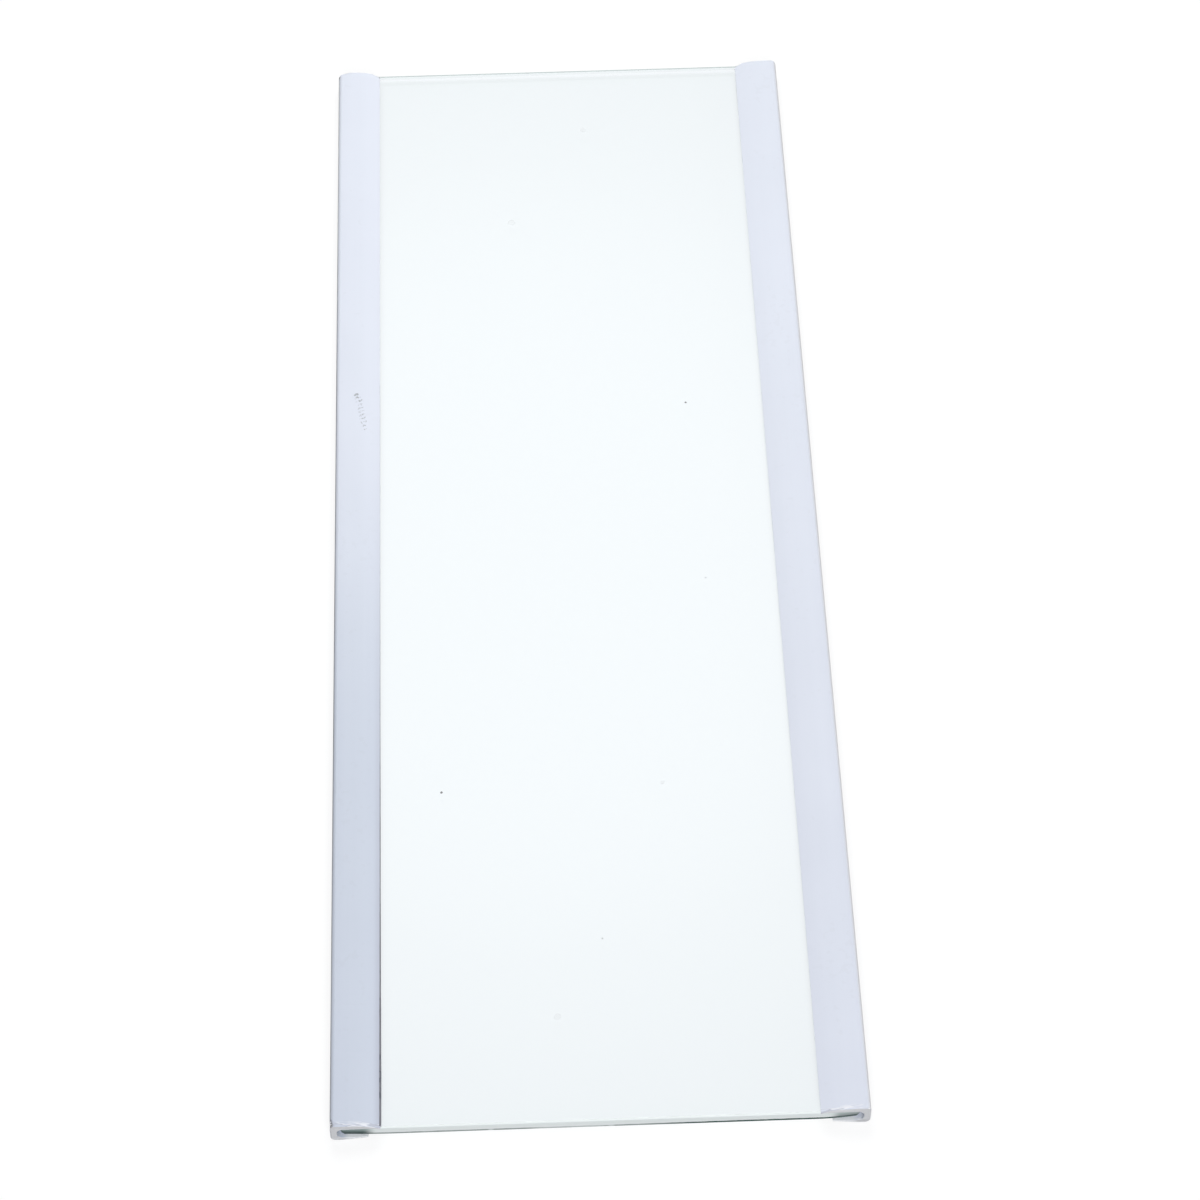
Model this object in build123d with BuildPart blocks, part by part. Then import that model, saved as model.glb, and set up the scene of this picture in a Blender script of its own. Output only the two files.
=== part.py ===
"""Fridge shelf: a flat tempered glass pane with a white plastic trim pushed onto each long edge.

All sizes are in millimetres. +X runs along the long side of the shelf, +Y from the front trim
to the rear trim, and +Z is up. The origin is on the surface that the shelf rests on, midway
along the trims and midway between them.
"""

import os

from build123d import *

# Whole shelf
shelf_width = 160.0

# Glass pane, with bare short ends
glass_length = 440.0
glass_thickness = 4.0
glass_corner_radius = 2.0
glass_arris = 0.4

# Edge trim, an extruded C-section whose two lips spring onto the glass.
# It is cut flush with the glass at the -X end and runs past it at the +X end.
trim_overrun = 0.6
trim_wall = 2.0
seat_clearance = 0.8

# Upper lip: bullnosed outside, nearly flat on top, then a nose that falls to a thin free edge
upper_lip_reach = 14.9
upper_lip_rise = 2.4
outer_top_radius = 1.4
crown_fall = 0.15
nose_run = 8.0
upper_edge_thickness = 0.35

# Lower lip: shorter, with a flat foot under the wall and an underside that ramps up to its tip
lower_lip_reach = 11.2
lower_lip_depth = 1.5
outer_bottom_radius = 1.8
foot_width = 2.2
ramp_radius = 4.0
lower_edge_thickness = 0.4

# Grip inside the channel: each lip touches the glass on a narrow land and is relieved behind it
upper_relief = 0.4
lower_relief = 0.2
grip_land = 0.8
grip_run = 1.6
channel_fillet = 1.8

# Worked-out sizes
glass_width = shelf_width - 2 * (trim_wall + seat_clearance)
trim_length = glass_length + trim_overrun
glass_bottom = lower_lip_depth
glass_top = glass_bottom + glass_thickness
trim_top = glass_top + upper_lip_rise
foot_end = outer_bottom_radius + foot_width
lower_land_start = lower_lip_reach - grip_land
upper_land_start = upper_lip_reach - grip_land

os.makedirs("parts", exist_ok=True)

# The pane: a plate with its corners rounded and every edge arrised, set back from the +X cut ends
pane_plane = Plane(origin=(-trim_overrun / 2, 0, glass_bottom))

with BuildPart() as glass_panel:
    with BuildSketch(pane_plane):
        RectangleRounded(glass_length, glass_width, glass_corner_radius)
    extrude(amount=glass_thickness)
    chamfer(glass_panel.faces().filter_by(Axis.Z).edges(), glass_arris)

# The trim's section is drawn from its outer face inwards, standing on the shelf's underside
section_plane = Plane(
    origin=(-trim_length / 2, -shelf_width / 2, 0), x_dir=(0, 1, 0), z_dir=(1, 0, 0)
)

with BuildPart() as front_trim:
    with BuildSketch(section_plane):
        with BuildLine():
            # Underside: the flat foot, then the ramp up to the lower lip's tip
            underside = FilletPolyline(
                (outer_bottom_radius, 0),
                (foot_end, 0),
                (lower_lip_reach, glass_bottom - lower_edge_thickness),
                radius=ramp_radius,
            )
            lower_edge = Line(underside @ 1, (lower_lip_reach, glass_bottom))
            lower_land = Line(lower_edge @ 1, (lower_land_start, glass_bottom))
            # Channel: relief of the lower lip, back wall, relief of the upper lip
            channel = FilletPolyline(
                lower_land @ 1,
                (lower_land_start - grip_run, glass_bottom - lower_relief),
                (trim_wall, glass_bottom - lower_relief),
                (trim_wall, glass_top + upper_relief),
                (upper_land_start - grip_run, glass_top + upper_relief),
                (upper_land_start, glass_top),
                radius=channel_fillet,
            )
            upper_land = Line(channel @ 1, (upper_lip_reach, glass_top))
            upper_edge = Line(upper_land @ 1, (upper_lip_reach, glass_top + upper_edge_thickness))
            # Outside: wall, bullnosed top corner, shallow crown, and the nose down to the free edge
            outer_wall = Line((0, outer_bottom_radius), (0, trim_top - outer_top_radius))
            top_corner = TangentArc(
                outer_wall @ 1, (outer_top_radius, trim_top), tangent=outer_wall % 1
            )
            crown = TangentArc(
                top_corner @ 1,
                (upper_lip_reach - nose_run, trim_top - crown_fall),
                tangent=top_corner % 1,
            )
            TangentArc(crown @ 1, upper_edge @ 1, tangent=crown % 1)
            TangentArc(underside @ 0, outer_wall @ 0, tangent=(underside % 0) * -1)
        make_face()
    extrude(amount=trim_length)

# The rear trim is the same extrusion turned to face the other way
with BuildPart() as rear_trim:
    mirror(front_trim.part, about=Plane.XZ)

glass_panel.part.label = "glass_panel"
export_step(glass_panel.part, "parts/glass_panel.step")
front_trim.part.label = "front_trim"
export_step(front_trim.part, "parts/front_trim.step")
rear_trim.part.label = "rear_trim"
export_step(rear_trim.part, "parts/rear_trim.step")
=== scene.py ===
import math

import bmesh
import bpy
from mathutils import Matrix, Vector, noise
from mathutils.geometry import tessellate_polygon


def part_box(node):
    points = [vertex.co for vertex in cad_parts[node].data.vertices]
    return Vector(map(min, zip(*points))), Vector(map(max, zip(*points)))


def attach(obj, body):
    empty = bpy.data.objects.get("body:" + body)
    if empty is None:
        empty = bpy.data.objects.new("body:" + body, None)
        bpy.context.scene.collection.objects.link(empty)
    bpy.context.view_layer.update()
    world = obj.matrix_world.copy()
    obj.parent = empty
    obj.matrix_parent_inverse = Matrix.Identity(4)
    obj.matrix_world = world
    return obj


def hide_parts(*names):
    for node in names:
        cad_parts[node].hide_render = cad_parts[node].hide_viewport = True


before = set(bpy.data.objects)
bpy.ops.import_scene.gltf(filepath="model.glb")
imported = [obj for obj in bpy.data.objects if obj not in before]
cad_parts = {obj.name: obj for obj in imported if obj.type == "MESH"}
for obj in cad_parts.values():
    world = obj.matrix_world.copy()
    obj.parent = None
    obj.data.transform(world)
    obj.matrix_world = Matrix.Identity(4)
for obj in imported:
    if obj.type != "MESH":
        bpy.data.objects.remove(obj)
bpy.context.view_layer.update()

mm = 0.001

# Camera, as fitted to the straight edges of the shelf in the photograph
photo_pixels = 1200
focal_pixels = 3758.52
sensor_width = 36.0
eye = (0.776881, -0.015374, 0.977835)
eye_turn_deg = (37.703, 0.2955, 87.9282)

# Where the shelf's solids are; the near end is the +X end, which faces the camera
glass_low, glass_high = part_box("glass_panel")
front_low, front_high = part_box("front_trim")
_, rear_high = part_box("rear_trim")
glass_bottom, glass_top = glass_low.z, glass_high.z
glass_thick = glass_top - glass_bottom
trim_far, trim_near = front_low.x, front_high.x
trim_top = front_high.z
upper_lip_reach = front_high.y - front_low.y
front_lip_edge = front_high.y

# Trim section, measured inwards from the outer face of its wall and up from its foot
trim_wall = 2.0 * mm
outer_top_radius = 1.4 * mm
crown_fall = 0.15 * mm
nose_run = 8.0 * mm
upper_edge_thickness = 0.35 * mm
lower_lip_reach = 11.2 * mm
outer_bottom_radius = 1.8 * mm
foot_width = 2.2 * mm
ramp_radius = 4.0 * mm
lower_edge_thickness = 0.4 * mm
upper_relief = 0.4 * mm
lower_relief = 0.2 * mm
grip_land = 0.8 * mm
grip_run = 1.6 * mm
channel_fillet = 1.8 * mm
lip_edge_radius = 0.12 * mm
arc_step_deg = 8.0

# Lengthwise spacing of the trim's sections: close at the sawn ends and over the nicked stretch
plain_step = 2.0 * mm
nicked_run = 48.0 * mm
nicked_step = 0.25 * mm
sawn_run = 2.6 * mm
sawn_step = 0.1 * mm

# Wear on the trims
burr_run = 1.9 * mm
burr_full_run = 0.3 * mm
burr_height = 0.16 * mm
burr_pitch = 0.45 * mm
burr_ridge_length = 3.5 * mm
ragged_cut = 0.22 * mm
ragged_run = 3 * sawn_step
far_end_seed = 5
cut_arris = 0.08 * mm
# How far from the near cut the burr's painted shadow lines and whitened lines reach
burr_shadow_and_white_run = 2.2 * mm
# The far ends are rubbed round in plan: how far from the wall and from the lip's edge, and how deep
front_far_round = (6.5 * mm, 2.2 * mm)
rear_far_round = (2.6 * mm, 1.3 * mm)
lip_far_round = (1.6 * mm, 1.6 * mm)
far_round_run = 6.0 * mm
nick_depth = 0.07 * mm
nick_half_width = 0.22 * mm
# Each nick: distance from the near end, distance in from the wall, half its length across the trim
nicks = (
    (41.9 * mm, 5.9 * mm, 0.9 * mm),
    (41.5 * mm, 7.3 * mm, 1.0 * mm),
    (42.2 * mm, 8.6 * mm, 0.6 * mm),
    (25.4 * mm, 7.2 * mm, 0.7 * mm),
    (24.6 * mm, 8.4 * mm, 0.7 * mm),
    (10.1 * mm, 8.6 * mm, 0.6 * mm),
)
# Each chip in the front wall's top corner: distance from the near end, size, depth
corner_chips = ((2.1 * mm, 0.5 * mm, 0.45 * mm), (0.95 * mm, 0.65 * mm, 0.6 * mm))
chip_grain = 0.45 * mm
chip_jaggedness = 0.9
# A spot of painted shade on the front wall's far top corner
far_corner_shade = (trim_far + 2.4 * mm, front_low.y + 0.2 * mm, trim_top - 0.6 * mm)
far_corner_shade_size = 0.6 * mm

# Glass pane
glass_corner_radius = 1.0 * mm
glass_arris = 0.4 * mm
contact_gap = 0.01 * mm
end_step = 0.8 * mm
uneven_arris = 0.1 * mm
uneven_length = 4.0 * mm
uneven_seed = 0.5
ground_skin = 0.03 * mm
# How far the grinding laps onto the pane's top at each end
near_lap = 0.1 * mm
far_lap = 0.55 * mm
# The long edges are ground round inside the trims: how far that takes the faces back at the sides
long_edge_round = 1.5 * mm
# Heights of the pane's outlines over its underside, up to the middle; the upper half mirrors them
lower_heights = (0.0, 0.15 * mm, 0.4 * mm, 0.8 * mm, 1.3 * mm, 2.0 * mm)
# Heights over the pane's underside: the painted dark line of shade that ends the ground face, and the
# painted strip of light over it
dark_line = (1.3 * mm, 0.95 * mm)
pale_strip = (2.3 * mm, 1.8 * mm)
ground_ragged = 0.18 * mm
# The near end lies back towards the trims: where that begins on each side, and how deep at the corner
front_ease = (-60.0 * mm, 0.5 * mm)
rear_ease = (64.0 * mm, 0.9 * mm)
# Each chip in the near end's lower edge: place across the shelf, half width, depth
edge_chips = ((-32.6 * mm, 1.1 * mm, 0.15 * mm), (3.1 * mm, 1.4 * mm, 0.18 * mm))
# Where the trims begin to keep light out of the ground ends, and where they keep it all out
front_shade = (-66.0 * mm, -70.5 * mm)
rear_shade = (67.5 * mm, 71.5 * mm)
rear_shade_depth = 0.7
# Where across the shelf the dark line begins to deepen and is deepest, and how much it widens there
line_deepens = (5.0 * mm, 36.0 * mm)
line_widens = 0.15 * mm
# What is left of the line before it deepens
line_least = 0.68
# A stretch where the line is faint: middle, half length, share of that which is faintest, and what share
# of the line is left there; then the same two shares at the chips
faint_stretch = (-9.0 * mm, 14.0 * mm, 0.6, 0.6)
chip_faintness = (0.2, 0.5)
# Heights over the pane's underside between which the shaded glass turns from dark to paler
lens_heights = (1.2 * mm, 3.2 * mm)

# Dirt and painted shadow: a dark strip along the front lip's edge, which fades out towards the far end
grime_shade_far = -70.0 * mm
grime_shade_width = 0.65 * mm
grime_shade_growth = 2.3
grime_shade_step = 1.5 * mm
grime_shade_least_width = 0.02 * mm
grime_shade_waver = 0.25
grime_shade_waver_length = 9.0 * mm
grime_shade_seed = 2.5
# How high it heaps on the lip, as shares of its width: at the lip's edge, and further up from there
grime_shade_rise = 0.1
grime_shade_slope = 0.25
# Each speck on the glass: place along and across the shelf, radius, all in millimetres
dark_specks = ((100.1, -45.8, 0.42), (-58.3, 39.0, 0.36), (17.7, 41.8, 0.2), (156.3, 2.8, 0.2))
pale_spots = ((183.5, -11.7, 1.1), (99.0, 23.8, 0.8), (-144.7, -18.5, 1.4), (-189.3, 8.6, 1.2))
speck_points = 14
speck_uneven = 0.3
# Each ring of a speck: share of its radius, share of its height
speck_rings = ((1.0, 0.0), (0.6, 1.0))
# A dark speck's height is a share of its radius, and a pale spot is a thin film
dark_speck_height = 0.5
pale_spot_height = 0.02 * mm

# Edges that turn by more than this stay sharp
trim_sharp_deg = 32.0
glass_sharp_deg = 20.0
grime_shade_sharp_deg = 80.0
speck_sharp_deg = 60.0

# Marks on the trims that are colour only. The front trim has painted shade, darker over its near part:
# where that begins, and where it is deepest
front_trim_shading = (-60.0 * mm, 90.0 * mm)
# Its top corner has painted light towards the far end and painted shade further on: where the shade begins
# and is deepest, where it clears again, how much is left there, and its width
corner_shade_run = (-150.0 * mm, -85.0 * mm)
corner_clears = (60.0 * mm, 200.0 * mm)
corner_least_shade = 0.55
corner_shade_width = 0.6 * mm
# The rear trim's wall has painted light: how far that reaches over its top corner
rear_light_reach = 1.0 * mm
# The lower lips by the near cut have painted light: how far from the cut, how far in from the wall that
# begins and is full, and how far it rises over the glass's underside
lower_lit_run = 2.0 * mm
lower_lit_from = (3.0 * mm, 6.0 * mm)
lower_lit_rise = (0.4 * mm, 0.1 * mm)
# Painted shade on the front lip's nose: how far back from its edge, and where it stops past the edge
lip_shade_reach = 2.6 * mm
lip_shade_stop = (1.0 * mm, 0.5 * mm)
# How squarely a face has to look along the shelf to be a sawn one
sawn_facing = (0.6, 0.9)
# Burr lines by the near cut, a painted shadow line and a whitened one: their fade to each side of a level
# of the ridges, and their strength
burr_line_width = (0.04, 0.012)
burr_line_strength = 0.7
# Colour at the chips, painted shade round a whitened core, and the painted shade spot at the far end: from
# where they begin to where they are full, in sizes of the mark
chip_mark_scale = 1.2
chip_shade_rim = (1.6, 1.3)
chip_core = (1.15, 0.85)
far_shade_edge = (1.2, 0.6)

# Scuff on the front trim: a rubbed blob and the fainter tail that it draws out towards the near end.
# Each part: middle along and across the shelf, turn in degrees, half length, half width, strength
scuff_parts = (
    (-63.9 * mm, -72.9 * mm, 0.0, 2.2 * mm, 1.4 * mm, 1.6),
    (-62.0 * mm, -72.3 * mm, 12.0, 5.5 * mm, 2.0 * mm, 1.0),
    (-55.0 * mm, -71.0 * mm, 9.0, 11.0 * mm, 2.0 * mm, 1.05),
)
scuff_depth = 10.0 * mm
scuff_edge = (1.05, 0.35)
scuff_dash_turn_deg = 25.0
scuff_dash_gap = 1.5 * mm
scuff_dashes = {"Scale": math.pi / 10, "Distortion": 3.0, "Detail": 2.0}
scuff_breaks = {"Scale": 2.7, "Detail": 4.0}
# How much the dashes, the breaks and the parts count, and the levels between which a mark appears
scuff_weights = (0.35, 1.5, 0.5)
scuff_levels = (1.44, 1.85)

# Grain of each surface: lines to a metre along, across and up the shelf
drawn_grain = {"Lines per metre": (6.0, 900.0, 900.0), "Detail": 4.0}
saw_grain = {"Lines per metre": (500.0, 900.0, 3500.0), "Detail": 5.0}
burr_grain = {"Lines per metre": (700.0, 110.0, 150.0), "Detail": 2.0}
ground_grain = {"Lines per metre": (300.0, 40.0, 2600.0), "Detail": 4.0}
waver_grain = {"Lines per metre": (1.0, 260.0, 1.0), "Detail": 2.0}
dirt_grain = {"Lines per metre": (150.0, 900.0, 900.0), "Detail": 3.0}
grain_middle = 0.5
grain_range = (0.2, 0.8)
streak_range = (0.1, 0.6)
# Flecks of each surface
plastic_flecks = {"Flecks per metre": 420.0, "Cover": 0.16}
glass_dust = {"Flecks per metre": 260.0, "Cover": 0.12}
ground_sparkle = {"Flecks per metre": 2600.0, "Cover": 0.35}
dirt_clumps = {"Flecks per metre": 800.0, "Cover": 0.45}
fleck_detail = 2.0
# The level that flecks rise above where nothing is covered, and how softly they set in
fleck_level = 1.05
fleck_edge = 0.08
# They come in patches: how those compare with the flecks in scale and in weight
patch_scale = 0.12
patch_weight = 0.5
# Blotches from handling
plastic_blotches = {"Blotches per metre": 22.0}
glass_smudges = {"Blotches per metre": 14.0}
blotch_detail = 4.0
blotch_range = (0.3, 0.7)

# White plastic: its two shades, then each coat on it as a strength and a colour
plastic_shades = ((0.735, 0.765, 0.85, 1), (0.755, 0.785, 0.87, 1))
drawn_coat = (0.12, (0.66, 0.69, 0.77, 1))
fleck_coat = (0.05, (0.45, 0.45, 0.46, 1))
# Painted light on the thin lips
thin_lip_light_coat = (0.5, (0.81, 0.84, 0.93, 1))
# Painted shade on the front trim
front_trim_shade_tint = (0.84, 0.865, 0.885, 1)
# Painted light and painted shade on the front trim's top corner
corner_shades = ((0.92, 0.94, 0.95, 1), (0.46, 0.47, 0.51, 1))
corner_shade_strength = 0.8
# Painted light on the rear trim's wall
rear_wall_light = (0.95, 0.955, 0.97, 1)
# Painted shade on the front lip's nose
lip_shade_coat = (0.4, (0.42, 0.42, 0.5, 1))
scuff_coat = (0.75, (0.33, 0.34, 0.36, 1))
# Each kind of burr line, first a painted shadow, then whitened plastic: the level of the ridges that it
# follows, its colour
burr_lines = ((0.43, (0.50, 0.51, 0.57, 1)), (0.5, (0.95, 0.95, 0.97, 1)))
# Painted shade round the chips, and their whitened cores
chip_rim_shade_coat = (0.7, (0.32, 0.32, 0.36, 1))
chip_core_coat = (1.0, (0.95, 0.95, 0.96, 1))
# Painted shade spot on the far top corner
far_shade_coat = (0.7, (0.2, 0.2, 0.2, 1))
sawn_shades = ((0.67, 0.67, 0.665, 1), (0.86, 0.86, 0.86, 1))
# Painted shade on the sawn faces by the front wall
sawn_rim_shade_coat = (0.55, (0.42, 0.42, 0.45, 1))
# Painted light on the lower lips by the near cut
lower_lip_light = (0.96, 0.975, 0.97, 1)
plastic_rough = (0.34, 0.48)
worn_rough = 0.35
# How high the drawn lines, the saw's lines and the scuff stand
plastic_relief = (0.25, 4.0, -1.0)
plastic_bump = {"Strength": 0.6, "Distance": 0.03 * mm}

# Glass: the clear pane, its tint in the thickness, the light that one face lets pass, and the ground skin
glass_colour = (0.957, 0.973, 1.0, 1)
glass_ior = 1.52
glass_tint = {"Color": (0.35, 0.62, 0.58, 1), "Density": 14.0}
glass_passes = (0.93, 0.96, 0.95, 1)
# Roughness that dust and smudges add
glass_rough = (0.06, 0.012)
ground_shades = ((0.90, 0.965, 0.92, 1), (0.96, 1.0, 0.97, 1))
sparkle_coat = (0.3, (0.95, 0.98, 0.97, 1))
# Painted light along the strip over the foot line
strip_coat = (0.7, (0.96, 0.99, 0.96, 1))
# Painted shade of the foot line
line_colour = (0.06, 0.11, 0.095, 1)
far_ground_colour = (0.56, 0.62, 0.62, 1)
lens_shades = ((0.03, 0.055, 0.05, 1), (0.33, 0.41, 0.39, 1))
lens_line_coat = (0.3, (0.36, 0.45, 0.43, 1))
ground_passes = (0.94, 0.97, 0.95, 1)
ground_rough = (0.45, 0.65)
ground_bump = {"Strength": 0.5, "Distance": 0.03 * mm}

# Each kind of dirt: name, dark and light shade, cover
# The first kind is the strip of dirt and painted shadow along the front lip
grime_and_shadow = ("grime_and_shadow", (0.16, 0.17, 0.2, 1), (0.26, 0.26, 0.29, 1), 1.0)
dark_dust = ("dark_dust", (0.12, 0.12, 0.12, 1), (0.3, 0.3, 0.3, 1), 1.0)
dried_water = ("dried_water", (0.45, 0.46, 0.46, 1), (0.6, 0.6, 0.6, 1), 0.06)
dirt_least_cover = 0.7
dirt_rough = (0.7, 0.95)

# Light
sky_strength = 0.075
sky_colour = (1.0, 1.0, 1.0, 1.0)
glow_direction = (-0.62, 0.0, 0.785)
glow_spread = 0.985
glow_strength = 1.3
floor_grey = (0.2, 0.2, 0.2, 1.0)
floor_glow = 0.82
floor_size = 8.0
# Rays with fewer diffuse bounces than this see the ground and the air as white
seen_bounces = 0.5
# Each softbox: name, place, edge length, power, colour
softboxes = (
    ("far_softbox", (-0.338, -0.03, 0.606), 0.5, 3.6, (0.985, 1.0, 0.99)),
    ("near_softbox", (1.06, 0.0, 0.70), 0.5, 10.0, (0.985, 1.0, 1.05)),
    ("right_softbox", (0.1, 0.9, 0.25), 0.5, 1.8, (1.0, 1.0, 1.0)),
)


# Plane geometry of the sections
def signed_angle(start, end):
    return math.atan2(start.x * end.y - start.y * end.x, start.dot(end))


def turned(direction, angle):
    c, s = math.cos(angle), math.sin(angle)
    return Vector((c * direction.x - s * direction.y, s * direction.x + c * direction.y))


def tangent_arc(start, end, heading):
    """Points of the arc that leaves start along heading and arrives at end, start left out."""
    chord = end - start
    half_turn = signed_angle(heading, chord)
    diameter = chord.length / math.sin(half_turn)
    steps = max(2, math.ceil(abs(math.degrees(2 * half_turn)) / arc_step_deg))
    parts = [half_turn * i / steps for i in range(1, steps + 1)]
    return [start + turned(heading, part) * diameter * math.sin(part) for part in parts]


def rounded_line(corners):
    """An open line through corners, each a (point, radius) pair, with the inner ones rounded."""
    line = [Vector(corners[0][0])]
    for (before, _), (corner, radius), (after, _) in zip(corners, corners[1:], corners[2:]):
        corner = Vector(corner)
        heading = (corner - Vector(before)).normalized()
        leaving = (Vector(after) - corner).normalized()
        cut = radius * math.tan(abs(signed_angle(heading, leaving)) / 2)
        start = corner - heading * cut
        line += [start, *tangent_arc(start, corner + leaving * cut, heading)]
    return line + [Vector(corners[-1][0])]


def trim_section():
    """Closed outline of the C-section as (inwards, up) points, and how many of them lie outside."""
    wall_top = Vector((0, trim_top - outer_top_radius))
    shoulder = Vector((outer_top_radius, trim_top))
    crown_end = Vector((upper_lip_reach - nose_run, trim_top - crown_fall))
    upper_edge = Vector((upper_lip_reach, glass_top + upper_edge_thickness))
    upwards, inwards = Vector((0, 1)), Vector((1, 0))
    nose_heading = turned(inwards, 2 * signed_angle(inwards, crown_end - shoulder))
    outside = [
        wall_top,
        *tangent_arc(wall_top, shoulder, upwards),
        *tangent_arc(shoulder, crown_end, inwards),
        *tangent_arc(crown_end, upper_edge, nose_heading),
    ]
    upper_land = upper_lip_reach - grip_land
    lower_land = lower_lip_reach - grip_land
    ceiling = glass_top + upper_relief
    channel_floor = glass_bottom - lower_relief
    inside = rounded_line([
        (upper_edge, 0),
        ((upper_lip_reach, glass_top), lip_edge_radius),
        ((upper_land, glass_top), channel_fillet),
        ((upper_land - grip_run, ceiling), channel_fillet),
        ((trim_wall, ceiling), channel_fillet),
        ((trim_wall, channel_floor), channel_fillet),
        ((lower_land - grip_run, channel_floor), channel_fillet),
        ((lower_land, glass_bottom), channel_fillet),
        ((lower_lip_reach, glass_bottom), lip_edge_radius),
        ((lower_lip_reach, glass_bottom - lower_edge_thickness), lip_edge_radius),
        ((outer_bottom_radius + foot_width, 0), ramp_radius),
        ((0, 0), outer_bottom_radius),
        (wall_top, 0),
    ])
    return outside + inside[1:-1], len(outside)


# Meshes
def spaced(start, end, step):
    """Evenly spaced places from start up to, but not including, end."""
    count = max(1, round((end - start) / step))
    return [start + (end - start) * i / count for i in range(count)]


def bell(distance, half_width):
    return math.exp(-((distance / half_width) ** 2))


def fade(value, start, end):
    """Smooth step from 0 at start to 1 at end."""
    t = min(1.0, max(0.0, (value - start) / (end - start)))
    return t * t * (3 - 2 * t)


def loft(rings, cap=None):
    """Points and faces of a closed skin over rings of equal length; cap gives the faces of each end."""
    size = len(rings[0])
    points = [point for ring in rings for point in ring]
    last = len(points) - size
    faces = []
    for corners in cap or [range(size)]:
        faces += [tuple(corners), tuple(last + i for i in corners)]
    for first in range(0, last, size):
        for i in range(size):
            j = (i + 1) % size
            faces.append((first + i, first + j, first + size + j, first + size + i))
    return points, faces


def add_piece(name, lofts, material, sharp_deg):
    """One mesh object made of closed lofts, shaded smooth up to sharp_deg and carried by the shelf."""
    points, faces = [], []
    for loft_points, loft_faces in lofts:
        faces += [tuple(len(points) + i for i in face) for face in loft_faces]
        points += loft_points
    mesh = bpy.data.meshes.new(name)
    mesh.from_pydata(points, [], faces)
    shell = bmesh.new()
    shell.from_mesh(mesh)
    bmesh.ops.recalc_face_normals(shell, faces=shell.faces)
    shell.to_mesh(mesh)
    shell.free()
    mesh.shade_smooth()
    mesh.set_sharp_from_angle(angle=math.radians(sharp_deg))
    mesh.materials.append(material)
    piece = bpy.data.objects.new(name, mesh)
    bpy.context.scene.collection.objects.link(piece)
    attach(piece, "root")
    return piece


def sawn_shift(from_end, inward, up, outside, seed):
    """How the saw left the trim near a cut: ragged along the shelf, with a low burr on its top."""
    ragged = 0.5 + 0.5 * noise.noise(Vector((inward / mm, up / mm, seed)))
    shorter = ragged_cut * ragged * fade(from_end, ragged_run, 0)
    ridges = noise.noise(Vector((from_end / burr_pitch, inward / burr_ridge_length, seed)))
    on_top = outside and up > trim_top - outer_top_radius
    burr = burr_height * ridges * fade(from_end, burr_run, burr_full_run) if on_top else 0.0
    return shorter, min(0.0, burr)


def round_back(distance, run, depth):
    """How far an oval corner lies back at a distance from the side that it joins."""
    short = max(0.0, 1 - max(0.0, distance) / run)
    return depth * (1 - math.sqrt(1 - short * short))


def inset_section(section, depth):
    """The section with its outline moved into the plastic."""
    moved = []
    for before, point, after in zip(section[-1:] + section, section, section[1:] + section[:1]):
        along = (after - before).normalized()
        moved.append(point + Vector((along.y, -along.x)) * depth)
    return moved


def nick_dent(from_end, inward):
    dents = [
        bell(from_end - place, nick_half_width) * bell(inward - middle, half_length)
        for place, middle, half_length in nicks
    ]
    return nick_depth * sum(dents)


def corner_chip(from_end, inward, up):
    place = Vector((from_end, inward, up - trim_top + outer_top_radius / 2))
    jagged = 1 + chip_jaggedness * noise.noise(place / chip_grain)
    chips = [
        depth * bell((place - Vector((back, 0, 0))).length, size) for back, size, depth in corner_chips
    ]
    return jagged * sum(chips)


def trim_ring(x, section, outside_count, wall_y, side, worn, far_round):
    """The trim's section at one place along the shelf; side is 1 for the front and -1 for the rear."""
    ring = []
    from_near, from_far = trim_near - x, x - trim_far
    arris = max(0.0, cut_arris - min(from_near, from_far))
    for index, (inward, up) in enumerate(inset_section(section, arris)):
        outside = index < outside_count
        near_short, near_burr = sawn_shift(from_near, inward, up, outside, side)
        far_short, far_burr = sawn_shift(from_far, inward, up, outside, side + far_end_seed)
        rounding = round_back(inward, *far_round) + round_back(upper_lip_reach - inward, *lip_far_round)
        far_short += rounding * max(0.0, 1 - from_far / far_round_run)
        dent = nick_dent(from_near, inward) if worn and outside else 0.0
        chip = corner_chip(from_near, inward, up) if worn and outside else 0.0
        ring.append(Vector((
            x - near_short + far_short,
            wall_y + side * (inward + chip),
            up + near_burr + far_burr - dent - chip / 2,
        )))
    return ring


def add_trim(name, node, wall_y, side, worn, far_round, material):
    section, outside_count = trim_section()
    places = spaced(trim_far, trim_far + sawn_run, sawn_step)
    places += spaced(trim_far + sawn_run, trim_near - nicked_run, plain_step)
    places += spaced(trim_near - nicked_run, trim_near - sawn_run, nicked_step if worn else plain_step)
    places += spaced(trim_near - sawn_run, trim_near, sawn_step)
    places.append(trim_near)
    rings = [trim_ring(x, section, outside_count, wall_y, side, worn, far_round) for x in places]
    cap = tessellate_polygon([[point.to_3d() for point in section]])
    trim = add_piece(name, [loft(rings, cap)], material, trim_sharp_deg)
    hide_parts(node)


def end_uneven(y, level):
    return uneven_arris * noise.noise(Vector((y / uneven_length, level, uneven_seed)))


def end_ease(y):
    """How far the near end lies back at a place across the shelf."""
    share_front = max(0.0, (y - front_ease[0]) / (glass_low.y - front_ease[0]))
    share_rear = max(0.0, (y - rear_ease[0]) / (glass_high.y - rear_ease[0]))
    return front_ease[1] * share_front ** 2 + rear_ease[1] * share_rear ** 2


def end_back(outwards, height):
    """How far the arris sets an end back at one height; the far lower edge was left square."""
    if outwards < 0 and height < glass_thick / 2:
        return 0.0
    return max(0.0, glass_arris - min(height, glass_thick - height))


def side_back(height):
    """How far the round long edges lie back at one height."""
    off_middle = min(1.0, abs(2 * height / glass_thick - 1))
    return long_edge_round * (1 - math.sqrt(1 - off_middle ** 2))


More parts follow.
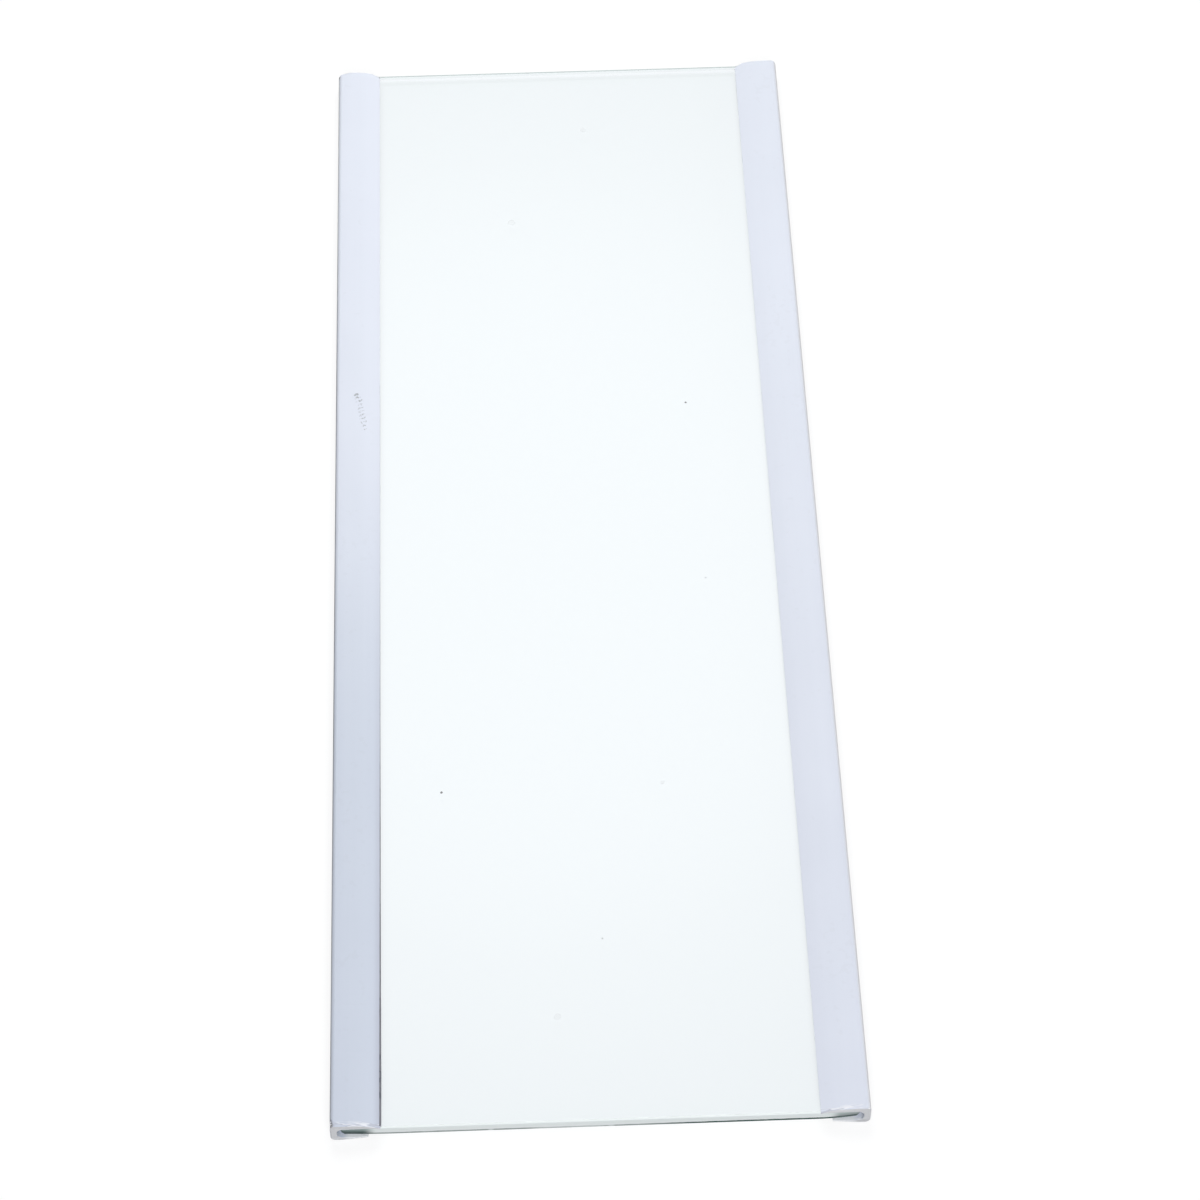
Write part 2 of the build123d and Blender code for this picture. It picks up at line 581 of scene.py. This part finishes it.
def end_path(outwards, height, depth=0.0):
    """Places and outward ways along one end, from corner to corner, at a depth under the surface."""
    corner_x = (glass_high.x - glass_low.x) / 2 - glass_corner_radius
    widest_y = (glass_high.y - glass_low.y) / 2 - glass_corner_radius
    corner_y = widest_y - side_back(height)
    middle_x = (glass_low.x + glass_high.x) / 2
    radius = glass_corner_radius - end_back(outwards, height) - depth
    steps = math.ceil(90 / arc_step_deg)
    turns = [(math.pi / 2 * (i / steps - 1), -corner_y) for i in range(steps)]
    turns += [(0.0, y * corner_y / widest_y) for y in spaced(-widest_y, widest_y, end_step)]
    turns += [(math.pi / 2 * i / steps, corner_y) for i in range(steps + 1)]
    path = []
    for angle, y in turns:
        way = Vector((outwards * math.cos(angle), math.sin(angle), 0))
        place = Vector((middle_x + outwards * corner_x, y, glass_bottom + height)) + way * radius
        if outwards > 0:
            place.x -= end_ease(place.y)
        path.append((place, way))
    return path


def pane_ring(height):
    """The pane's outline at one height, with uneven arrises and the chips in its near lower edge."""
    ring = []
    for outwards in (1, -1):
        back = end_back(outwards, height)
        points = []
        for place, way in end_path(outwards, height, ground_skin + contact_gap):
            shift = abs(end_uneven(place.y, back / mm + outwards)) if back else 0.0
            if outwards > 0 and height <= glass_arris:
                shift += sum(depth * bell(place.y - middle, width) for middle, width, depth in edge_chips)
            point = place - way * shift
            point.z = min(max(point.z, glass_bottom + contact_gap), glass_top - contact_gap)
            points.append(point)
        ring += points[::outwards]
    return ring


def add_glass(material):
    heights = list(lower_heights) + [glass_thick - height for height in lower_heights[-2::-1]]
    rings = [pane_ring(height) for height in heights]
    pane = add_piece("glass_pane", [loft(rings)], material, glass_sharp_deg)
    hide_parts("glass_panel")


def add_ground_edge(name, outwards, lap, material):
    """The ground skin on a bare end: a lap on the top, the upper arris, and the face down to the lower."""
    heights = [glass_thick - height for height in lower_heights]
    heights += [height for height in lower_heights[-2::-1] if height >= glass_arris]
    outer_paths = [end_path(outwards, height) for height in heights]
    inner_paths = [end_path(outwards, height, ground_skin) for height in heights]
    under_lap = Vector((0, 0, -contact_gap / 2))
    rings = []
    for outer, inner in zip(zip(*outer_paths), zip(*inner_paths)):
        way = outer[0][1]
        outer = [place for place, _ in outer]
        inner = [place for place, _ in inner]
        inner[0] = inner[0] + under_lap
        rim = outer[0] - way * lap
        rings.append([rim, *outer, *inner[::-1], rim + under_lap])
    size = len(rings[0])
    cap = [(i, i + 1, size - 2 - i, size - 1 - i) for i in range(size // 2 - 1)]
    add_piece(name, [loft(rings, cap)], material, glass_sharp_deg)


def add_grime_and_shadow_line(material):
    """Dirt and painted shadow packed as a dark strip against the front lip's edge, widest at the near end.
    """
    near = glass_high.x - glass_arris
    rings = []
    for x in spaced(grime_shade_far, near, grime_shade_step) + [near]:
        strength = ((x - grime_shade_far) / (near - grime_shade_far)) ** grime_shade_growth
        wavy = 1 + grime_shade_waver * noise.noise(Vector((x / grime_shade_waver_length, grime_shade_seed, 0)))
        width = max(grime_shade_least_width, grime_shade_width * strength * wavy)
        edge = front_lip_edge - width / 2
        crest = glass_top + upper_edge_thickness + grime_shade_rise * width
        rings.append([
            Vector((x, edge, glass_top)),
            Vector((x, front_lip_edge + width / 2, glass_top)),
            Vector((x, front_lip_edge + width / 4, glass_top + upper_edge_thickness / 2)),
            Vector((x, front_lip_edge, crest)),
            Vector((x, edge, crest + grime_shade_slope * width)),
        ])
    add_piece("grime_and_shadow_line", [loft(rings)], material, grime_shade_sharp_deg)


def speck_loft(x_mm, y_mm, radius_mm, height):
    """A flat irregular fleck that lies on the glass."""
    rings = []
    for share, lift in speck_rings:
        ring = []
        for i in range(speck_points):
            angle = 2 * math.pi * i / speck_points
            way = Vector((math.cos(angle), math.sin(angle), 0))
            uneven = 1 + speck_uneven * noise.noise(Vector((x_mm, y_mm, 0)) + way)
            centre = Vector((x_mm * mm, y_mm * mm, glass_top + lift * height))
            ring.append(centre + way * radius_mm * mm * share * uneven)
        rings.append(ring)
    return loft(rings)


def add_specks(dark_material, pale_material):
    dark = [speck_loft(x, y, radius, radius * dark_speck_height * mm) for x, y, radius in dark_specks]
    add_piece("dust_specks", dark, dark_material, speck_sharp_deg)
    pale = [speck_loft(x, y, radius, pale_spot_height) for x, y, radius in pale_spots]
    add_piece("water_spots", pale, pale_material, speck_sharp_deg)


# Shader nodes
def add_node(tree, kind, inputs=None, **settings):
    """A node with its settings and sockets filled in; a socket given as a value is linked."""
    node = tree.nodes.new(kind)
    for key, value in settings.items():
        setattr(node, key, value)
    for key, value in (inputs or {}).items():
        if isinstance(value, bpy.types.NodeSocket):
            tree.links.new(value, node.inputs[key])
        else:
            node.inputs[key].default_value = value
    return node


def compute(tree, operation, first, second=0.0):
    return add_node(tree, "ShaderNodeMath", {0: first, 1: second}, operation=operation).outputs[0]


def ramp(tree, value, start, end, low=0.0, high=1.0):
    """Smooth step of value from low at start to high at end."""
    limits = {"Value": value, "From Min": start, "From Max": end, "To Min": low, "To Max": high}
    return add_node(tree, "ShaderNodeMapRange", limits, interpolation_type="SMOOTHSTEP").outputs[0]


def mix_colour(tree, factor, first, second, blend="MIX"):
    """Mix of two colours; the node keeps these in sockets of their own, after those for other data."""
    sockets = {0: factor, 6: first, 7: second}
    return add_node(tree, "ShaderNodeMix", sockets, data_type="RGBA", blend_type=blend).outputs[2]


def weighted_sum(tree, values, weights):
    total = 0.0
    for value, weight in zip(values, weights):
        total = compute(tree, "ADD", total, compute(tree, "MULTIPLY", value, weight))
    return total


def coated(tree, colour, mask, strength, coat):
    """The colour under a coat that lies where the mask says, at a share of its strength."""
    return mix_colour(tree, compute(tree, "MULTIPLY", mask, strength), colour, coat)


def place_coordinates(tree):
    """Places on the shelf in metres, in the shelf's own frame."""
    return add_node(tree, "ShaderNodeTexCoord").outputs["Object"]


def split_places(tree):
    return add_node(tree, "ShaderNodeSeparateXYZ", {0: place_coordinates(tree)}).outputs


def new_group(name, inputs, outputs):
    group = bpy.data.node_groups.new(name, "ShaderNodeTree")
    for label, kind, value in inputs:
        socket = group.interface.new_socket(label, in_out="INPUT", socket_type=kind)
        socket.default_value = value
    for label, kind in outputs:
        group.interface.new_socket(label, in_out="OUTPUT", socket_type=kind)
    return group, group.nodes.new("NodeGroupInput").outputs, group.nodes.new("NodeGroupOutput").inputs


def use_group(tree, group, inputs):
    return add_node(tree, "ShaderNodeGroup", inputs, node_tree=group).outputs


def make_drawn_grain():
    """Fine lines left by drawing or grinding: noise that is stretched along one way of the shelf."""
    group, given, result = new_group(
        "drawn_grain",
        [
            ("Lines per metre", "NodeSocketVector", (10.0, 800.0, 800.0)),
            ("Detail", "NodeSocketFloat", 3.0),
        ],
        [("Grain", "NodeSocketFloat")],
    )
    stretched = add_node(
        group, "ShaderNodeVectorMath",
        {0: place_coordinates(group), 1: given["Lines per metre"]}, operation="MULTIPLY",
    ).outputs[0]
    lines = add_node(
        group, "ShaderNodeTexNoise", {"Vector": stretched, "Scale": 1.0, "Detail": given["Detail"]}
    )
    group.links.new(lines.outputs["Fac"], result["Grain"])
    return group


def make_flecks():
    """Scattered small flecks: the peaks of a fine noise, thinned out by a coarse one."""
    group, given, result = new_group(
        "flecks",
        [
            ("Flecks per metre", "NodeSocketFloat", 900.0),
            ("Cover", "NodeSocketFloat", 0.3),
        ],
        [("Mask", "NodeSocketFloat")],
    )
    place = place_coordinates(group)
    fine = add_node(
        group, "ShaderNodeTexNoise",
        {"Vector": place, "Scale": given["Flecks per metre"], "Detail": fleck_detail},
    ).outputs["Fac"]
    coarse_scale = compute(group, "MULTIPLY", given["Flecks per metre"], patch_scale)
    coarse = add_node(
        group, "ShaderNodeTexNoise", {"Vector": place, "Scale": coarse_scale, "Detail": fleck_detail}
    ).outputs["Fac"]
    level = compute(group, "ADD", fine, compute(group, "MULTIPLY", coarse, patch_weight))
    start = compute(group, "SUBTRACT", fleck_level, given["Cover"])
    mask = ramp(group, level, start, compute(group, "ADD", start, fleck_edge))
    group.links.new(mask, result["Mask"])
    return group


def make_mottle():
    """Broad soft blotches from handling."""
    group, given, result = new_group(
        "mottle", [("Blotches per metre", "NodeSocketFloat", 25.0)], [("Mask", "NodeSocketFloat")]
    )
    scale = given["Blotches per metre"]
    blotches = add_node(
        group, "ShaderNodeTexNoise",
        {"Vector": place_coordinates(group), "Scale": scale, "Detail": blotch_detail},
    ).outputs["Fac"]
    group.links.new(ramp(group, blotches, *blotch_range), result["Mask"])
    return group


def new_material(name):
    material = bpy.data.materials.new(name)
    material.use_nodes = True
    tree = material.node_tree
    return material, tree, tree.nodes["Principled BSDF"]


def local_place(tree, centre, turn_deg, size):
    """Places counted from a centre, along turned axes and in units of size."""
    return add_node(
        tree, "ShaderNodeMapping",
        {
            "Vector": place_coordinates(tree),
            "Location": centre,
            "Rotation": (0.0, 0.0, math.radians(turn_deg)),
            "Scale": size,
        },
        vector_type="TEXTURE",
    ).outputs[0]


def reach_from(tree, centre, turn_deg, size):
    """Distance from a centre, in units of size along turned axes."""
    place = local_place(tree, centre, turn_deg, size)
    return add_node(tree, "ShaderNodeVectorMath", {0: place}, operation="LENGTH").outputs["Value"]


def scuff_mask(tree):
    """Short slanting dashes inside the scuffed parts of the front trim's top."""
    inside = 0.0
    for x, y, turn_deg, half_length, half_width, strength in scuff_parts:
        reach = reach_from(tree, (x, y, trim_top), turn_deg, (half_length, half_width, scuff_depth))
        inside = compute(tree, "MAXIMUM", inside, ramp(tree, reach, *scuff_edge, 0.0, strength))
    slanted = local_place(tree, (0.0, 0.0, 0.0), scuff_dash_turn_deg, (scuff_dash_gap,) * 3)
    dashes = add_node(tree, "ShaderNodeTexWave", {"Vector": slanted, **scuff_dashes}).outputs["Fac"]
    broken = add_node(tree, "ShaderNodeTexNoise", {"Vector": slanted, **scuff_breaks}).outputs["Fac"]
    level = weighted_sum(tree, (dashes, broken, inside), scuff_weights)
    return ramp(tree, level, *scuff_levels)


def lip_shade_mask(tree, place):
    """Painted shade on the front lip's nose, towards its edge and towards the near end."""
    to_edge = ramp(tree, place["Y"], front_lip_edge - lip_shade_reach, front_lip_edge)
    front_only = ramp(tree, place["Y"], *[front_lip_edge + past for past in lip_shade_stop])
    to_near = ramp(tree, place["X"], grime_shade_far, trim_near)
    return compute(tree, "MULTIPLY", compute(tree, "MULTIPLY", to_edge, front_only), to_near)


def plain_plastic(tree, place, drawn, flecks, mottle):
    """Colour of the plastic away from its marks, with painted light in the thin lips and painted shade on
    the front trim.
    """
    blotches = use_group(tree, mottle, plastic_blotches)["Mask"]
    dirt = use_group(tree, flecks, plastic_flecks)["Mask"]
    colour = mix_colour(tree, blotches, *plastic_shades)
    colour = coated(tree, colour, drawn, *drawn_coat)
    colour = coated(tree, colour, dirt, *fleck_coat)
    from_middle = compute(tree, "ABSOLUTE", place["Y"])
    # Painted light, paler towards the lips' edges
    thin_lip = ramp(tree, from_middle, -front_lip_edge + nose_run, -front_lip_edge)
    colour = coated(tree, colour, thin_lip, *thin_lip_light_coat)
    front = ramp(tree, place["Y"], 0.0, front_lip_edge)
    shaded_front_share = compute(tree, "MULTIPLY", front, ramp(tree, place["X"], *front_trim_shading))
    return mix_colour(tree, shaded_front_share, colour, front_trim_shade_tint, "MULTIPLY")


def shaded_walls(tree, place, colour, front_rim):
    """The colour with painted light and shade on the front trim's top corner and painted light on the rear
    trim's wall.
    """
    at_top = ramp(tree, place["Z"], trim_top - 2 * outer_top_radius, trim_top - outer_top_radius)
    corner = compute(tree, "MULTIPLY", front_rim, at_top)
    cleared = ramp(tree, place["X"], *corner_clears, 1.0, corner_least_shade)
    corner_shading = compute(tree, "MULTIPLY", ramp(tree, place["X"], *corner_shade_run), cleared)
    corner_colour = mix_colour(tree, corner_shading, *corner_shades)
    colour = coated(tree, colour, corner, corner_shade_strength, corner_colour)
    rear_wall = ramp(tree, place["Y"], rear_high.y - rear_light_reach, rear_high.y)
    return mix_colour(tree, rear_wall, colour, rear_wall_light)


def end_marks(tree, place, colour, grain, saw_lines):
    """The colour with the burr lines, painted shadow and whitened plastic, the chips' painted shade and
    whitened cores at the near end, and a painted shade spot at the far end.
    """
    from_cut = ramp(tree, place["X"], trim_near - burr_shadow_and_white_run, trim_near - burr_shadow_and_white_run / 3)
    ridges = use_group(tree, grain, burr_grain)["Grain"]
    for level, burr_colour in burr_lines:
        off_level = compute(tree, "ABSOLUTE", compute(tree, "SUBTRACT", ridges, level))
        burr_line = compute(tree, "MULTIPLY", from_cut, ramp(tree, off_level, *burr_line_width))
        colour = coated(tree, colour, burr_line, burr_line_strength, burr_colour)
    for back, size, _ in corner_chips:
        chip = (trim_near - back, front_low.y, trim_top - outer_top_radius / 2)
        reach = reach_from(tree, chip, 0.0, (chip_mark_scale * size,) * 3)
        reach = compute(tree, "ADD", reach, compute(tree, "SUBTRACT", saw_lines, grain_middle))
        colour = coated(tree, colour, ramp(tree, reach, *chip_shade_rim), *chip_rim_shade_coat)
        colour = coated(tree, colour, ramp(tree, reach, *chip_core), *chip_core_coat)
    reach = reach_from(tree, far_corner_shade, 0.0, (far_corner_shade_size,) * 3)
    return coated(tree, colour, ramp(tree, reach, *far_shade_edge), *far_shade_coat)


def sawn_ends(tree, place, colour, sawn, saw_lines, front_rim):
    """The colour with the sawn faces on the trims' ends, painted shade at their front rim, and painted
    light on the lower lips by the near cut.
    """
    sawn_colour = mix_colour(tree, saw_lines, *sawn_shades)
    sawn_colour = coated(tree, sawn_colour, front_rim, *sawn_rim_shade_coat)
    colour = mix_colour(tree, sawn, colour, sawn_colour)
    below = ramp(tree, place["Z"], *[glass_bottom + rise for rise in lower_lit_rise])
    from_middle = compute(tree, "ABSOLUTE", place["Y"])
    inwards = ramp(tree, from_middle, *[rear_high.y - inward for inward in lower_lit_from])
    lower_lip = compute(tree, "MULTIPLY", below, inwards)
    lower_lit_full = trim_near - lower_lit_run / 2
    to_cut = ramp(tree, place["X"], trim_near - lower_lit_run, lower_lit_full)
    return mix_colour(tree, compute(tree, "MULTIPLY", lower_lip, to_cut), colour, lower_lip_light)


def make_white_plastic(grain, flecks, mottle):
    material, tree, shader = new_material("white_plastic")
    place = split_places(tree)
    facing = add_node(tree, "ShaderNodeNewGeometry").outputs["True Normal"]
    facing_x = add_node(tree, "ShaderNodeSeparateXYZ", {0: facing}).outputs["X"]
    sawn = ramp(tree, compute(tree, "ABSOLUTE", facing_x), *sawn_facing)
    drawn = use_group(tree, grain, drawn_grain)["Grain"]
    saw_lines = use_group(tree, grain, saw_grain)["Grain"]
    # The front wall's top corner and rim, where shade is painted
    front_rim = ramp(tree, place["Y"], front_low.y + corner_shade_width, front_low.y)
    scuff = scuff_mask(tree)

    colour = plain_plastic(tree, place, drawn, flecks, mottle)
    colour = shaded_walls(tree, place, colour, front_rim)
    colour = coated(tree, colour, lip_shade_mask(tree, place), *lip_shade_coat)
    colour = coated(tree, colour, scuff, *scuff_coat)
    colour = end_marks(tree, place, colour, grain, saw_lines)
    colour = sawn_ends(tree, place, colour, sawn, saw_lines, front_rim)
    tree.links.new(colour, shader.inputs["Base Color"])

    worn = compute(tree, "MAXIMUM", sawn, scuff)
    rough = ramp(tree, drawn, *grain_range, *plastic_rough)
    rough = compute(tree, "ADD", rough, compute(tree, "MULTIPLY", worn, worn_rough))
    tree.links.new(rough, shader.inputs["Roughness"])

    sawn_lines = compute(tree, "MULTIPLY", saw_lines, sawn)
    height = weighted_sum(tree, (drawn, sawn_lines, scuff), plastic_relief)
    bump = add_node(tree, "ShaderNodeBump", {"Height": height, **plastic_bump})
    tree.links.new(bump.outputs[0], shader.inputs["Normal"])
    return material


def let_light_through(tree, shader, colour):
    """Let the lamps reach what lies behind the glass, in the colour that one of its faces lets pass."""
    rays = add_node(tree, "ShaderNodeLightPath").outputs["Is Shadow Ray"]
    clear = add_node(tree, "ShaderNodeBsdfTransparent", {"Color": colour})
    surface = add_node(tree, "ShaderNodeMixShader", {0: rays, 1: shader.outputs[0], 2: clear.outputs[0]})
    tree.links.new(surface.outputs[0], tree.nodes["Material Output"].inputs["Surface"])


def make_clear_glass(flecks, mottle):
    material, tree, shader = new_material("clear_glass")
    shader.inputs["Base Color"].default_value = glass_colour
    shader.inputs["Transmission Weight"].default_value = 1.0
    shader.inputs["IOR"].default_value = glass_ior
    dust = use_group(tree, flecks, glass_dust)["Mask"]
    smudge = use_group(tree, mottle, glass_smudges)["Mask"]
    tree.links.new(weighted_sum(tree, (dust, smudge), glass_rough), shader.inputs["Roughness"])
    let_light_through(tree, shader, glass_passes)
    tint = add_node(tree, "ShaderNodeVolumeAbsorption", glass_tint)
    tree.links.new(tint.outputs[0], tree.nodes["Material Output"].inputs["Volume"])
    return material


def weakened(tree, line, across, middle, half_length, core, left):
    """A line of which only a share is left around one place across the shelf."""
    off_middle = compute(tree, "ABSOLUTE", compute(tree, "SUBTRACT", across, middle))
    return compute(tree, "MULTIPLY", line, ramp(tree, off_middle, core * half_length, half_length, left))


def foot_line(tree, across, wavy_height):
    """The painted dark line of shade along the foot of the near end, deeper towards the rear and broken by
    the chips.
    """
    deepened = ramp(tree, across, *line_deepens)
    widened = compute(tree, "MULTIPLY", deepened, line_widens)
    line = ramp(tree, compute(tree, "SUBTRACT", wavy_height, widened), *dark_line)
    line = compute(tree, "MULTIPLY", line, ramp(tree, deepened, 0.0, 1.0, line_least, 1.0))
    line = weakened(tree, line, across, *faint_stretch)
    for place, half_width, _ in edge_chips:
        line = weakened(tree, line, across, place, half_width, *chip_faintness)
    return line


def make_ground_glass(grain, flecks):
    """Ground glass, pale, with painted light where light comes through the sheet and painted shade along
    its foot and in the trims.
    """
    material, tree, shader = new_material("ground_glass")
    lines = use_group(tree, grain, ground_grain)["Grain"]
    sparkle = use_group(tree, flecks, ground_sparkle)["Mask"]
    waver = use_group(tree, grain, waver_grain)["Grain"]
    place = split_places(tree)
    height = compute(tree, "SUBTRACT", place["Z"], glass_bottom)
    uneven = compute(tree, "MULTIPLY", compute(tree, "SUBTRACT", waver, grain_middle), 2 * ground_ragged)
    wavy_height = compute(tree, "ADD", height, uneven)

    colour = mix_colour(tree, lines, *ground_shades)
    colour = coated(tree, colour, sparkle, *sparkle_coat)
    colour = coated(tree, colour, ramp(tree, wavy_height, *pale_strip), *strip_coat)
    colour = mix_colour(tree, foot_line(tree, place["Y"], wavy_height), colour, line_colour)
    far = ramp(tree, place["X"], trim_near / 2, trim_far / 2)
    colour = mix_colour(tree, far, colour, far_ground_colour)

    dark = mix_colour(tree, ramp(tree, height, *lens_heights), *lens_shades)
    dark = coated(tree, dark, lines, *lens_line_coat)
    shade = compute(tree, "MULTIPLY", ramp(tree, place["Y"], *rear_shade), rear_shade_depth)
    shade = compute(tree, "MAXIMUM", ramp(tree, place["Y"], *front_shade), shade)
    tree.links.new(mix_colour(tree, shade, colour, dark), shader.inputs["Base Color"])
    tree.links.new(ramp(tree, lines, *grain_range, *ground_rough), shader.inputs["Roughness"])
    bump = add_node(tree, "ShaderNodeBump", {"Height": lines, **ground_bump})
    tree.links.new(bump.outputs[0], shader.inputs["Normal"])
    let_light_through(tree, shader, ground_passes)
    return material


def make_dirt(name, dark, light, cover, flecks, grain):
    """Dull dirt that breaks up at its edges; it also makes the dark strip of dirt and painted shadow by
    the front lip.
    """
    material, tree, shader = new_material(name)
    clumps = use_group(tree, flecks, dirt_clumps)["Mask"]
    streaks = use_group(tree, grain, dirt_grain)["Grain"]
    tree.links.new(mix_colour(tree, clumps, dark, light), shader.inputs["Base Color"])
    tree.links.new(ramp(tree, streaks, *grain_range, *dirt_rough), shader.inputs["Roughness"])
    alpha = ramp(tree, streaks, *streak_range, cover * dirt_least_cover, cover)
    tree.links.new(alpha, shader.inputs["Alpha"])
    return material


# Stage
def seen_rays(tree):
    """1 for rays whose result is seen straight or through the glass, 0 for those that light a surface."""
    rays = add_node(tree, "ShaderNodeLightPath").outputs
    straight = compute(tree, "LESS_THAN", rays["Diffuse Depth"], seen_bounces)
    through = compute(tree, "MULTIPLY", rays["Is Transmission Ray"], straight)
    return compute(tree, "MAXIMUM", rays["Is Camera Ray"], through)


def add_floor():
    half = floor_size / 2
    mesh = bpy.data.meshes.new("floor")
    corners = [(-half, -half, 0), (half, -half, 0), (half, half, 0), (-half, half, 0)]
    mesh.from_pydata(corners, [], [(0, 1, 2, 3)])
    material, tree, shader = new_material("floor_paper")
    tree.nodes.remove(shader)
    paper = add_node(tree, "ShaderNodeBsdfDiffuse", {"Color": floor_grey})
    glow = compute(tree, "MULTIPLY", seen_rays(tree), floor_glow)
    white = add_node(tree, "ShaderNodeEmission", {"Strength": glow})
    both = add_node(tree, "ShaderNodeAddShader", {0: paper.outputs[0], 1: white.outputs[0]})
    tree.links.new(both.outputs[0], tree.nodes["Material Output"].inputs["Surface"])
    mesh.materials.append(material)
    floor = bpy.data.objects.new("floor", mesh)
    bpy.context.scene.collection.objects.link(floor)


def add_world():
    """Soft grey studio air that is seen as white, with a broad glow where the pane mirrors it."""
    world = bpy.data.worlds.new("studio")
    world.use_nodes = True
    tree = world.node_tree
    direction = add_node(tree, "ShaderNodeTexCoord").outputs["Generated"]
    towards = add_node(
        tree, "ShaderNodeVectorMath", {0: direction, 1: glow_direction}, operation="DOT_PRODUCT"
    ).outputs["Value"]
    air = ramp(tree, towards, glow_spread, 1.0, sky_strength, sky_strength + glow_strength)
    background = tree.nodes["Background"]
    background.inputs["Color"].default_value = sky_colour
    tree.links.new(compute(tree, "MAXIMUM", air, seen_rays(tree)), background.inputs["Strength"])
    bpy.context.scene.world = world


def add_softboxes():
    middle = Vector((0, 0, 0))
    for name, place, size, power, colour in softboxes:
        light = bpy.data.lights.new(name, "AREA")
        light.shape = "SQUARE"
        light.size = size
        light.energy = power
        light.color = colour
        lamp = bpy.data.objects.new(name, light)
        lamp.location = place
        lamp.rotation_euler = (middle - Vector(place)).to_track_quat("-Z", "Y").to_euler()
        lamp.visible_camera = False
        lamp.visible_glossy = False
        lamp.visible_transmission = False
        bpy.context.scene.collection.objects.link(lamp)


def add_camera():
    lens = bpy.data.cameras.new("photo_camera")
    lens.sensor_width = sensor_width
    lens.lens = focal_pixels * sensor_width / photo_pixels
    camera = bpy.data.objects.new("photo_camera", lens)
    camera.location = eye
    camera.rotation_euler = [math.radians(angle) for angle in eye_turn_deg]
    bpy.context.scene.collection.objects.link(camera)
    bpy.context.scene.camera = camera


def dress_shelf():
    grain, flecks, mottle = make_drawn_grain(), make_flecks(), make_mottle()
    plastic = make_white_plastic(grain, flecks, mottle)
    add_trim("front_trim_dressed", "front_trim", front_low.y, 1, True, front_far_round, plastic)
    add_trim("rear_trim_dressed", "rear_trim", rear_high.y, -1, False, rear_far_round, plastic)
    add_glass(make_clear_glass(flecks, mottle))
    ground = make_ground_glass(grain, flecks)
    add_ground_edge("ground_edge_near", 1, near_lap, ground)
    add_ground_edge("ground_edge_far", -1, far_lap, ground)
    add_grime_and_shadow_line(make_dirt(*grime_and_shadow, flecks, grain))
    add_specks(make_dirt(*dark_dust, flecks, grain), make_dirt(*dried_water, flecks, grain))


dress_shelf()
add_floor()
add_world()
add_softboxes()
add_camera()
bpy.context.scene.view_settings.view_transform = "Standard"
